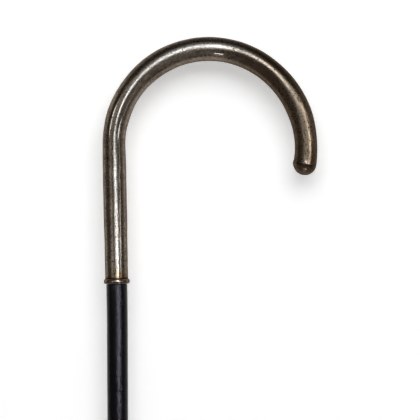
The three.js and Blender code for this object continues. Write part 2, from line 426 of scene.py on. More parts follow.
@dataclass(frozen=True)
class EbonisedWood:
    """Close-grained hardwood, dyed black and French polished by hand.

    It gives the eye a deep, faintly blue black whose soft shine is broken by the pores and by the slight
    orange peel of the polish. Real pores are under 0.1 mm wide, so these are drawn coarser, to show.
    """

    dye: str = "#070709"
    rubbed: str = "#0e0d11"
    pore_mm: float = 0.5
    pore_length_mm: float = 1.0
    pore_weight: float = 1.2  # beside the peel's 1
    peel_mm: float = 0.9
    peel_depth_mm: float = 0.15
    roughness: Fit = (0.3, 0.7, 0.12, 0.22)  # from the peel's noise
    specular: float = 0.12

    def build(self) -> bpy.types.Material:
        """Makes the material.

        Returns:
            The material.
        """
        material, tree, output = new_material("ebonised_hardwood")
        place = add_node(tree, "Attribute", attribute_name=UNBENT).outputs["Vector"]
        in_mm = add_node(tree, "VectorMath", {0: place, "Scale": 1 / MM}, operation="SCALE")
        pores = (1 / self.pore_mm, 1 / self.pore_mm, 1 / self.pore_length_mm)
        drawn = add_node(tree, "Mapping", {"Vector": in_mm, "Scale": pores})
        grain = add_node(tree, "TexNoise", {"Vector": drawn, "Scale": 1.0, "Detail": 4.0})
        peel = add_node(tree, "TexNoise", {"Vector": in_mm, "Scale": 1 / self.peel_mm, "Detail": 2.0})
        dyes = {"Factor": grain, 6: linear(self.dye), 7: linear(self.rubbed)}
        height = add_node(tree, "Math", [grain, self.pore_weight, peel], operation="MULTIPLY_ADD")
        depth = self.peel_depth_mm * MM
        shader = add_node(
            tree,
            "BsdfPrincipled",
            {
                "Base Color": add_node(tree, "Mix", dyes, **COLOURS),
                "Roughness": add_node(tree, "MapRange", [peel, *self.roughness]),
                "Specular IOR Level": self.specular,
                "Normal": add_node(tree, "Bump", {"Strength": 1.0, "Distance": depth, "Height": height}),
            },
        )
        tree.links.new(shader.outputs[0], output.inputs[0])
        return material


@dataclass(frozen=True)
class AgedMetal:
    """A plain metal that has dulled unevenly: the ferrule's brass and steel, and the iron rod.

    It gives the eye the metal's own colour where it is rubbed, a darker skin where it isn't, and small
    scratches that catch the light. Real scratches are finer, and these are drawn coarser, to show.
    """

    name: str
    bright: str
    dull: str
    roughness: Span = (0.3, 0.5)  # where bright, and where dull
    patch_mm: float = 5.0
    patch_roughness: float = 0.65
    dull_edge: Span = (0.38, 0.62)
    scratch_mm: float = 0.35
    scratch_stretch: float = 4.0  # they run round the piece
    depth_mm: float = 0.02

    def build(self) -> bpy.types.Material:
        """Makes the material.

        Returns:
            The material.
        """
        material, tree, output = new_material(self.name)
        place = add_node(tree, "TexCoord").outputs["Object"]
        in_mm = add_node(tree, "VectorMath", {0: place, "Scale": 1 / MM}, operation="SCALE")
        patch = {"Scale": 1 / self.patch_mm, "Detail": 6.0, "Roughness": self.patch_roughness}
        patches = add_node(tree, "TexNoise", {"Vector": in_mm, **patch})
        dulled = add_node(tree, "MapRange", [patches, *self.dull_edge])
        across = 1 / self.scratch_stretch / self.scratch_mm
        turned = add_node(
            tree, "Mapping", {"Vector": in_mm, "Scale": (across, across, 1 / self.scratch_mm)}
        )
        scratches = add_node(tree, "TexNoise", {"Vector": turned, "Scale": 1.0, "Detail": 3.0})
        tones = {"Factor": dulled, 6: linear(self.bright), 7: linear(self.dull)}
        depth = self.depth_mm * MM
        shader = add_node(
            tree,
            "BsdfPrincipled",
            {
                "Base Color": add_node(tree, "Mix", tones, **COLOURS),
                "Metallic": 1.0,
                "Roughness": add_node(tree, "MapRange", [patches, 0.0, 1.0, *self.roughness]),
                "Normal": add_node(tree, "Bump", {"Strength": 1.0, "Distance": depth, "Height": scratches}),
            },
        )
        tree.links.new(shader.outputs[0], output.inputs[0])
        return material


@dataclass(frozen=True)
class CastPitch:
    """Pitch poured hot into the handle, where it set.

    It gives the eye a nearly black, lumpy and waxy skin.
    """

    dark: str = "#1b120c"
    light: str = "#33241a"
    lump_mm: float = 4.0
    lump_depth_mm: float = 0.3
    lump_strength: float = 0.6
    roughness: float = 0.55

    def build(self) -> bpy.types.Material:
        """Makes the material.

        Returns:
            The material.
        """
        material, tree, output = new_material("cast_pitch")
        place = add_node(tree, "TexCoord").outputs["Object"]
        scale = 1 / (self.lump_mm * MM)
        lumps = add_node(tree, "TexNoise", {"Vector": place, "Scale": scale, "Detail": 4.0})
        tones = {"Factor": lumps, 6: linear(self.dark), 7: linear(self.light)}
        skin = {"Strength": self.lump_strength, "Distance": self.lump_depth_mm * MM, "Height": lumps}
        shader = add_node(
            tree,
            "BsdfPrincipled",
            {
                "Base Color": add_node(tree, "Mix", tones, **COLOURS),
                "Roughness": self.roughness,
                "Normal": add_node(tree, "Bump", skin),
            },
        )
        tree.links.new(shader.outputs[0], output.inputs[0])
        return material


@dataclass(frozen=True)
class Place:
    """A place on a centreline: where it is in the XZ plane, and how far it has turned from +Z to +X."""

    x: float
    z: float
    turn: float

    def matrix(self) -> Matrix:
        """Gives the matrix that sets a flat section on the line at this place."""
        return Matrix.Translation((self.x, 0, self.z)) @ Matrix.Rotation(self.turn, 4, "Y")


@dataclass(frozen=True)
class Centreline:
    """A line of straight runs and arcs in the XZ plane, each a length and a radius."""

    runs: tuple[tuple[float, float], ...]

    def at(self, distance: float) -> Place:
        """Follows the line, and past its end goes straight on.

        Args:
            distance: How far along the line.

        Returns:
            The place reached.
        """
        x, z, turn = 0.0, min(distance, 0.0), 0.0
        left = max(distance, 0.0)
        for length, radius in (*self.runs, (math.inf, math.inf)):
            walked = min(left, length)
            turned = walked / radius
            chord = 2 * radius * math.sin(turned / 2) if turned else walked
            x += chord * math.sin(turn + turned / 2)
            z += chord * math.cos(turn + turned / 2)
            turn += turned
            left -= walked
        return Place(x, z, turn)


STRAIGHT = Centreline(())


def smoothstep(value: float, low: float, high: float) -> float:
    """Rises smoothly from 0 at low to 1 at high."""
    share = min(max((value - low) / (high - low), 0.0), 1.0)
    return share * share * (3 - 2 * share)


def arc_points(
    centre: tuple[float, float], size: tuple[float, float], degrees: tuple[float, float], steps: int
) -> Profile:
    """Gives the points of an elliptical arc.

    Args:
        centre: Radius and distance of the arc's centre.
        size: Half the ellipse's width and height.
        degrees: The first and last angle.
        steps: How many stretches the arc has.

    Returns:
        Points as radius and distance.
    """
    points = []
    for step in range(steps + 1):
        angle = math.radians(degrees[0] + (degrees[1] - degrees[0]) * step / steps)
        points.append((centre[0] + size[0] * math.cos(angle), centre[1] + size[1] * math.sin(angle)))
    return points


@dataclass
class Turning:
    """A turned piece: a profile spun round an axis, refined, shaped and then bent along a centreline.

    The profile's points are a radius and a distance along the axis. Its stretches are cut into pieces of
    about a step, but those of the bore may have longer ones, because nothing shows there.
    """

    name: str
    profile: Profile
    slot: Slot
    material: bpy.types.Material
    sides: int = 64
    closed: bool = False  # whether the profile's last point joins its first
    step: float = 1.0 * MM
    bore_step: float | None = None
    line: Centreline = STRAIGHT
    placed: Matrix = field(default_factory=Matrix)
    shape: Shape | None = None
    sharp_degrees: float = 40.0

    def spin(self) -> bmesh.types.BMesh:
        """Cuts the profile's stretches to their steps and spins it round +Z.

        Returns:
            The straight piece.
        """
        bm = bmesh.new()
        corners = [bm.verts.new((radius, 0, at)) for radius, at in self.profile]
        pairs = list(zip(corners, corners[1:]))
        if self.closed:
            pairs.append((corners[-1], corners[0]))
        edges = [bm.edges.new(pair) for pair in pairs]
        innermost = min(radius for radius, _ in self.profile)
        for edge in edges:
            in_bore = max(vert.co.x for vert in edge.verts) <= innermost + WELD
            step = self.bore_step if self.bore_step and in_bore else self.step
            cuts = int(edge.calc_length() / step)
            if cuts:
                bmesh.ops.subdivide_edges(bm, edges=[edge], cuts=cuts)
        bmesh.ops.spin(
            bm,
            geom=[*bm.verts, *bm.edges],
            cent=(0, 0, 0),
            axis=(0, 0, 1),
            dvec=(0, 0, 0),
            angle=2 * math.pi,
            steps=self.sides,
            use_merge=True,
            use_duplicate=False,
        )
        bmesh.ops.remove_doubles(bm, verts=bm.verts, dist=WELD)
        bmesh.ops.recalc_face_normals(bm, faces=bm.faces)
        return bm

    def bend(self, bm: bmesh.types.BMesh) -> None:
        """Shapes the piece, lays it along its centreline, and keeps where each point was before.

        Args:
            bm: The straight piece.
        """
        unbent = bm.verts.layers.float_vector.new(UNBENT)
        lengthwise = bm.verts.layers.float_vector.new(LENGTHWISE)
        places: dict[int, Matrix] = {}
        for vert in bm.verts:
            vert[unbent] = vert.co
            across, distance = math.hypot(vert.co.x, vert.co.y), vert.co.z
            if self.shape and across:
                vert.co.xy *= 1 + self.shape(math.atan2(vert.co.y, vert.co.x), distance) / across
            key = round(distance / SAME_PLACE)
            if key not in places:
                places[key] = self.placed @ self.line.at(distance).matrix()
            vert[lengthwise] = places[key].col[2].xyz
            vert.co = places[key] @ Vector((vert.co.x, vert.co.y, 0))

    def build(self, *replaced: str) -> bpy.types.Object:
        """Makes the piece, rides it on the stick's body and hides the CAD nodes that it stands for.

        Args:
            *replaced: Names of the CAD nodes that it replaces.

        Returns:
            The new object.
        """
        bm = self.spin()
        self.bend(bm)
        for face in bm.faces:
            face.smooth = True
        for edge in bm.edges:
            edge.smooth = edge.calc_face_angle(0) < math.radians(self.sharp_degrees)
        mesh = bpy.data.meshes.new(self.name)
        bm.to_mesh(mesh)
        bm.free()
        mesh.materials.append(self.material)
        piece = bpy.data.objects.new(self.name, mesh)
        bpy.context.collection.objects.link(piece)
        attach(piece, BODY)
        if replaced:
            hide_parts(*replaced)
        log.info("%s: %d faces", self.name, len(mesh.polygons))
        return piece


@dataclass
class Stick:
    """What the handle and the shaft share: where they meet, and the bow that leads into the handle's lean."""

    shoulder_height: float = 741 * MM
    lean: float = math.radians(0.92)
    bow_length: float = 26 * MM

    @property
    def shaft_line(self) -> Centreline:
        """The shaft's centreline, by height from the ground."""
        straight = self.shoulder_height - self.bow_length
        return Centreline(((straight, math.inf), (self.bow_length, -self.bow_length / self.lean)))

    @property
    def handle_place(self) -> Matrix:
        """Where the handle sits: the middle of its mouth, leaning back."""
        return self.shaft_line.at(self.shoulder_height).matrix()


@dataclass(frozen=True)
class Ridge:
    """A thin, low ridge that the bending left along the tube."""

    degrees: float  # from the front towards the inside of the bend
    start: float  # how far along the tube, as is the end
    end: float
    height: float
    width: float = 1.1 * MM

    def rise(self, angle: float, distance: float, radius: float) -> float:
        """Gives how far the ridge stands out.

        Args:
            angle: Round the tube, in radians.
            distance: Along it.
            radius: The tube's outside radius.

        Returns:
            The rise there, 0 beside the ridge.
        """
        off = (angle - math.radians(self.degrees - 90)) * radius / self.width
        along = (distance - self.start) / (self.end - self.start)
        if abs(off) > 0.5 or not 0 < along < 1:
            return 0.0
        return self.height * math.cos(math.pi * off) ** 2 * math.sin(math.pi * along)


@dataclass
class Handle:
    """The crook: a drawn tube bent by hand, its domed cap, its bead and the old solder beside the seam.

    The neck's shares say where along it each of its radii is reached, and the bend's shares say so for the
    bend and the tail together. Between two of them the radius changes smoothly.
    """

    stick: Stick
    neck_length: float = 83.4 * MM
    bend_radius: float = 57.3 * MM
    bend_sweep: float = math.radians(121)
    tail_radius: float = 60.2 * MM
    tail_sweep: float = math.radians(69.3)
    mouth_radius: float = 13.9 * MM / 2
    neck_radius: float = 14.25 * MM / 2
    spring_radius: float = 13.95 * MM / 2
    ripple_radius: float = 14.5 * MM / 2
    haunch_radius: float = 14.05 * MM / 2
    shoulder_radius: float = 14.75 * MM / 2
    crown_radius: float = 14.6 * MM / 2
    waist_radius: float = 13.75 * MM / 2
    tip_radius: float = 14.05 * MM / 2
    wall: float = 0.8 * MM
    dome_height: float = 6.7 * MM
    spigot_length: float = 4 * MM
    seam: float = 0.2 * MM
    solder: float = 0.03 * MM  # between the tube's end and the dome
    rim_round: float = 0.12 * MM
    lump_height: float = 0.42 * MM  # of the swelling that the solder left at the seam
    lump_reach: float = 1.4 * MM
    lump_angle: float = math.radians(-45)  # between the front and the inside of the bend
    lump_rings: int = 4  # for each reach of the swelling
    bead_height: float = 3 * MM
    bead_projection: float = 0.93 * MM
    bead_solder: float = 0.02 * MM
    neck_shares: tuple[float, ...] = (0, 0.27, 0.5, 0.86)
    bend_shares: tuple[float, ...] = (0, 0.045, 0.095, 0.185, 0.31, 0.405, 0.815, 0.925, 0.965, 1)
    dent_depth: float = 0.07 * MM
    dent_length: float = 16 * MM
    dent_edge: float = 0.3  # the noise's level from which the wall has no dent
    facet_depth: float = 0.05 * MM
    facet_count: int = 11
    facet_middle: float = 100 * MM
    facet_reach: float = 22 * MM
    ridges: tuple[Ridge, ...] = (
        Ridge(-25, 80 * MM, 116 * MM, 0.26 * MM),
        Ridge(25, 84 * MM, 105 * MM, 0.19 * MM),
        Ridge(27, 176.7 * MM, 180.8 * MM, 0.54 * MM, 1.7 * MM),
        Ridge(27.5, 179.9 * MM, 184.9 * MM, 0.58 * MM, 1.7 * MM),
    )
    tube_sides: int = 200
    tube_step: float = 1.1 * MM
    bore_step: float = 4 * MM
    dome_sides: int = 96
    dome_steps: int = 24
    bead_sides: int = 112
    bead_steps: int = 16

    @property
    def line(self) -> Centreline:
        """The handle's centreline, by distance from the tube's mouth.

        Returns:
            The neck, the bend and the tail as one line.
        """
        bend = self.bend_radius * self.bend_sweep
        tail = self.tail_radius * self.tail_sweep
        return Centreline(
            ((self.neck_length, math.inf), (bend, self.bend_radius), (tail, self.tail_radius))
        )

    @property
    def length(self) -> float:
        """The tube's length along its centreline."""
        return sum(run[0] for run in self.line.runs)

    @property
    def stations(self) -> list[tuple[float, float]]:
        """Where along the tube its outside radius is set.

        Returns:
            Pairs of a distance and the radius there.
        """
        bend_length = self.length - self.neck_length
        neck = (self.mouth_radius, self.mouth_radius, self.neck_radius, self.neck_radius)
        bend = (
            self.spring_radius,
            self.spring_radius,
            self.ripple_radius,
            self.haunch_radius,
            self.shoulder_radius,
            self.crown_radius,
            self.crown_radius,
            self.waist_radius,
            self.waist_radius,
            self.tip_radius,
        )
        return [
            *((self.neck_length * share, radius) for share, radius in zip(self.neck_shares, neck)),
            *(
                (self.neck_length + bend_length * share, radius)
                for share, radius in zip(self.bend_shares, bend)
            ),
        ]

    def radius(self, distance: float, stations: Sequence[tuple[float, float]]) -> float:
        """Gives the tube's outside radius.

        Args:
            distance: How far along the tube.
            stations: Where its radius is set.

        Returns:
            The radius there, smooth between the stations.
        """
        for (start, first), (end, second) in zip(stations, stations[1:]):
            if distance <= end:
                return first + (second - first) * smoothstep(distance, start, end)
        return stations[-1][1]

    def handwork(self, angle: float, distance: float) -> float:
        """Gives how far the hammer and the bending pushed the wall in or out.

        Args:
            angle: Round the tube, in radians.
            distance: Along it.

        Returns:
            A change of radius.
        """
        around = Vector((math.cos(angle), math.sin(angle), distance / self.dent_length))
        dents = self.dent_depth * min(noise.noise(around) - self.dent_edge, 0.0)
        off = (distance - self.facet_middle) / self.facet_reach
        hollow = math.cos(self.facet_count * (angle + math.pi / 2)) - 1
        facets = self.facet_depth * math.exp(-off * off) * hollow
        ridges = sum(ridge.rise(angle, distance, self.neck_radius) for ridge in self.ridges)
        return dents + facets + ridges

    def lump(self, angle: float, distance: float) -> float:
        """Gives how far the solder left the seam standing out, in front and on the inside of the bend.

        Args:
            angle: Round the tube, in radians.
            distance: Along it.

        Returns:
            A change of radius.
        """
        off = (distance - self.length - 2 * self.seam) / self.lump_reach
        side = math.sqrt(max(math.cos(angle - self.lump_angle), 0.0))
        return self.lump_height * side * math.exp(-off * off)

    def build_tube(self, plate: bpy.types.Material) -> None:
        """Makes the bent tube.

        Args:
            plate: Its tarnished plate.
        """
        stations = self.stations
        nominal = self.mouth_radius

        def shape(angle: float, distance: float) -> float:
            """Gives how far the wall lies outside the mouth's radius."""
            change = self.radius(distance, stations) - nominal + self.handwork(angle, distance)
            return change + self.lump(angle, distance)

        inner = nominal - self.wall
        rings = (1 - step / self.lump_rings for step in range(-self.lump_rings, self.lump_rings + 1))
        profile = [
            (inner, 0.0),
            (nominal - self.rim_round, 0.0),
            (nominal, self.rim_round),
            *((nominal, self.length - self.lump_reach * share) for share in rings),
            (inner, self.length),
        ]
        Turning(
            "crook_tube_drawn",
            profile,
            Slot.HANDLE,
            plate,
            sides=self.tube_sides,
            closed=True,
            step=self.tube_step,
            bore_step=self.bore_step,
            line=self.line,
            placed=self.stick.handle_place,
            shape=shape,
        ).build("crook_tube")

    def build_cap(self, plate: bpy.types.Material) -> None:
        """Makes the pressed dome with its spigot.

        Args:
            plate: Its tarnished plate.
        """
        seat = self.length + self.solder
        spigot = self.waist_radius - self.wall - self.seam
        hollow = spigot - self.wall
        start = self.length - self.spigot_length
        dome = (self.tip_radius, self.dome_height + self.seam - self.solder)
        dome_inside = (hollow, self.dome_height - self.wall)
        profile = [
            (hollow, start),
            (spigot, start),
            (spigot, seat),
            *arc_points((0, seat), dome, (1, 90), self.dome_steps),
            *arc_points((0, seat), dome_inside, (90, 0), self.dome_steps // 2),
            (hollow, start),
        ]
        Turning(
            "end_cap_pressed",
            profile,
            Slot.HANDLE,
            plate,
            sides=self.dome_sides,
            line=self.line,
            placed=self.stick.handle_place,
            shape=self.lump,
        ).build("end_cap")

    def build_bead(self, plate: bpy.types.Material) -> None:
        """Makes the half-round bead.

        Args:
            plate: Its tarnished plate.
        """
        inside = self.mouth_radius + self.bead_solder
        half = self.bead_height / 2
        Turning(
            "mouth_bead_turned",
            arc_points((inside, half), (self.bead_projection, half), (-90, 90), self.bead_steps),
            Slot.HANDLE,
            plate,
            sides=self.bead_sides,
            closed=True,
            line=self.line,
            placed=self.stick.handle_place,
        ).build("mouth_bead")

    def build(
        self, plate: bpy.types.Material, cap_plate: bpy.types.Material, bead_plate: bpy.types.Material
    ) -> None:
        """Makes every piece of the handle.

        Args:
            plate: The tube's tarnished plate.
            cap_plate: The cap's.
            bead_plate: The bead's.
        """
        self.build_tube(plate)
        self.build_cap(cap_plate)
        self.build_bead(bead_plate)


@dataclass
class Ferrule:
    """The shod foot: a tapered brass sleeve, a steel tip and two brass pins."""

    height: float = 38 * MM
    top_radius: float = 11.8 * MM / 2
    bottom_radius: float = 9.8 * MM / 2
    wall: float = 0.6 * MM
    rim: float = 0.25 * MM
    tip_height: float = 5 * MM
    tip_edge: float = 1.4 * MM
    spigot_height: float = 4 * MM
    seam: float = 0.2 * MM
    pin_radius: float = 1.5 * MM / 2
    pin_length: float = 4 * MM
    pin_point: float = 1 * MM
    pin_head_radius: float = 2.6 * MM / 2
    pin_head_height: float = 0.5 * MM
    pin_drop: float = 7 * MM  # from the sleeve's rim
    sides: int = 72
    sleeve_step: float = 2 * MM
    rim_steps: int = 4
    edge_steps: int = 8
    pin_sides: int = 24
    pin_step: float = 0.5 * MM

    @property
    def bottom(self) -> float:
        """The height of the sleeve's lower edge."""
        return self.tip_height + self.seam

    def outside(self, height: float) -> float:
        """Gives the sleeve's outside radius at a height."""
        share = (height - self.bottom) / (self.height - self.bottom)
        return self.bottom_radius + (self.top_radius - self.bottom_radius) * share

    def bore(self, height: float) -> float:
        """Gives the sleeve's inside radius at a height."""
        return self.outside(height) - self.wall

    def build_sleeve(self, brass: bpy.types.Material) -> None:
        """Makes the tapered sleeve with its eased rim.

        Args:
            brass: Its metal.
        """
        low = self.height - self.rim
        profile = [
            (self.bore(self.bottom), self.bottom),
            (self.outside(self.bottom) - self.rim / 2, self.bottom),
            (self.outside(self.bottom), self.bottom + self.rim / 2),
            (self.outside(low), low),
            *arc_points((self.outside(low) - self.rim, low), (self.rim, self.rim), (20, 90), self.rim_steps),
            (self.bore(self.height), self.height),
        ]
        Turning(
            "ferrule_sleeve_drawn",
            profile,
            Slot.BRASS,
            brass,
            sides=self.sides,
            closed=True,
            step=self.sleeve_step,
        ).build("ferrule_sleeve")

    def build_tip(self, steel: bpy.types.Material) -> None:
        """Makes the steel tip with its rounded edge and spigot.

        Args:
            steel: Its metal.
        """
        radius = self.outside(self.bottom)
        spigot = self.bore(self.bottom) - self.seam
        edge = self.tip_edge
        profile = [
            (0, 0),
            *arc_points((radius - edge, edge), (edge, edge), (-90, 0), self.edge_steps),
            (radius, self.tip_height),
            (spigot, self.tip_height),
            (spigot, self.tip_height + self.spigot_height),
            (0, self.tip_height + self.spigot_height),
        ]
        Turning("ferrule_tip_turned", profile, Slot.STEEL, steel, sides=self.sides).build("ferrule_tip")

    def build_pins(self, brass: bpy.types.Material) -> None:
        """Makes the two domed pins, in front of the sleeve and behind it.

        Args:
            brass: Their metal.
        """
        height = self.height - self.pin_drop
        profile = [
            (0, -self.pin_length),
            (self.pin_radius, self.pin_point - self.pin_length),
            (self.pin_radius, 0),
            *arc_points((0, 0), (self.pin_head_radius, self.pin_head_height), (0, 90), self.edge_steps),
        ]
        for node, side in (("ferrule_pin_front", -1), ("ferrule_pin_back", 1)):
            seat = Matrix.Translation((0, side * (self.outside(height) + self.seam), height))
            Turning(
                f"{node}_domed",
                profile,
                Slot.BRASS,
                brass,
                sides=self.pin_sides,
                step=self.pin_step,
                placed=seat @ Matrix.Rotation(-side * math.pi / 2, 4, "X"),
            ).build(node)

    def build(self, brass: bpy.types.Material, steel: bpy.types.Material) -> None:
        """Makes every piece of the ferrule.

        Args:
            brass: The sleeve's and the pins' metal.
            steel: The tip's metal.
        """
        self.build_sleeve(brass)
        self.build_tip(steel)
        self.build_pins(brass)


@dataclass
class Shaft:
    """The wooden shaft, from its foot in the ferrule to the tenon in the handle."""

    stick: Stick
    handle: Handle
    ferrule: Ferrule
    top_radius: float = 12.8 * MM / 2
    foot_radius: float = 11.4 * MM / 2
    edge: float = 0.3 * MM
    gap: float = 0.25 * MM
    tenon_length: float = 48 * MM
    tenon_chamfer: float = 1 * MM
    rod_radius: float = 5 * MM / 2
    rod_grip: float = 32 * MM
    wave_depth: float = 0.03 * MM
    wave_length: float = 40 * MM
    wave_level: float = 0.7  # the noise's level where the wood has its true round
    sides: int = 72
    step: float = 4 * MM
    edge_steps: int = 4

    def wave(self, angle: float, distance: float) -> float:
        """Gives how far the spokeshave and the sandpaper left the wood under its true round."""
        around = Vector((math.cos(angle), math.sin(angle), distance / self.wave_length))
        return self.wave_depth * (noise.noise(around) - self.wave_level)

    def build(self, wood: bpy.types.Material) -> None:
        """Makes the shaft.

        Args:
            wood: Its material.
        """
        foot = self.ferrule.tip_height + self.ferrule.spigot_height + self.gap
        footing = self.ferrule.height + self.gap
        shoulder = self.stick.shoulder_height - self.gap
        tenon = self.handle.mouth_radius - self.handle.wall - self.gap
        top = self.stick.shoulder_height + self.tenon_length
        socket = self.rod_radius + self.gap
        floor = top - self.rod_grip - self.gap
        edge = self.edge
        rounded = (edge, edge)
        profile = [
            (0, foot),
            (self.ferrule.bore(foot) - self.gap - edge, foot),
            (self.ferrule.bore(foot) - self.gap, foot + edge),
            (self.ferrule.bore(footing) - self.gap, footing),
            *arc_points((self.foot_radius - edge, footing + edge), rounded, (-90, 0), self.edge_steps),
            *arc_points((self.top_radius - edge, shoulder - edge), rounded, (0, 90), self.edge_steps),
            (tenon, shoulder),
            (tenon, top - self.tenon_chamfer),
            (tenon - self.tenon_chamfer, top),
            (socket, top),
            (socket, floor),
            (0, floor),
        ]
        Turning(
            "shaft_ebonised",
            profile,
            Slot.WOOD,
            wood,
            sides=self.sides,
            step=self.step,
            line=self.stick.shaft_line,
            shape=self.wave,
        ).build("shaft")


class Lit(Enum):
    """What a lamp acts on: only the gleams of shiny surfaces, or only matt surfaces."""

    GLEAMS = "gleams"
    MATT = "matt"


class Tint(Enum):
    """The tints of the lamps."""

    WHITE = "#ffffff"
    DAYLIGHT = "#d7eaff"
    COOL = "#f3fbff"
    VIOLET = "#ebe9ff"


@dataclass(frozen=True)
class SoftBox:
    """A soft lamp: where it hangs, what it faces, its size and how bright its face is.

    Angles are in degrees, and azimuth runs from straight in front towards the right. A radiance of 1 is the
    brightness of plain white card. A grid narrows the beam to a cone.
    """

    name: str
    aim: tuple[float, float, float]
    azimuth: float
    elevation: float
    distance: float
    size: tuple[float, float]
    radiance: float
    tint: Tint = Tint.DAYLIGHT
    cone: float = 180.0
    lit: Lit = Lit.GLEAMS

    def hang(self) -> None:
        """Makes the lamp."""
        data = bpy.data.lights.new(self.name, "AREA")
        data.shape = "RECTANGLE"
        data.size, data.size_y = self.size
        data.spread = math.radians(self.cone)
        half = data.spread / 2
        share = 1 - half / math.tan(half)  # a grid doesn't dim the lamp, so its power comes down
        data.energy = self.radiance * math.pi * self.size[0] * self.size[1] * share
        data.color = linear(self.tint.value)[:3]
        lamp = bpy.data.objects.new(self.name, data)
        azimuth, elevation = math.radians(self.azimuth), math.radians(self.elevation)
        level = math.cos(elevation)
        away = Vector((math.sin(azimuth) * level, -math.cos(azimuth) * level, math.sin(elevation)))
        turn = away.to_track_quat("Z", "Y").to_matrix().to_4x4()
        lamp.matrix_world = Matrix.Translation(Vector(self.aim) + away * self.distance) @ turn
        lamp.visible_diffuse = self.lit is Lit.MATT
        lamp.visible_glossy = self.lit is Lit.GLEAMS
        bpy.context.collection.objects.link(lamp)


# What the lamps face: the middle of the crook, the top of its arch and the middle of its tail
CROOK = (0.056, 0.0, 0.8)
ARCH = (0.056, 0.0, 0.87)
TAIL = (0.118, 0.0, 0.84)
DIM_BROWN = (0.13, 0.108, 0.088, 1.0)


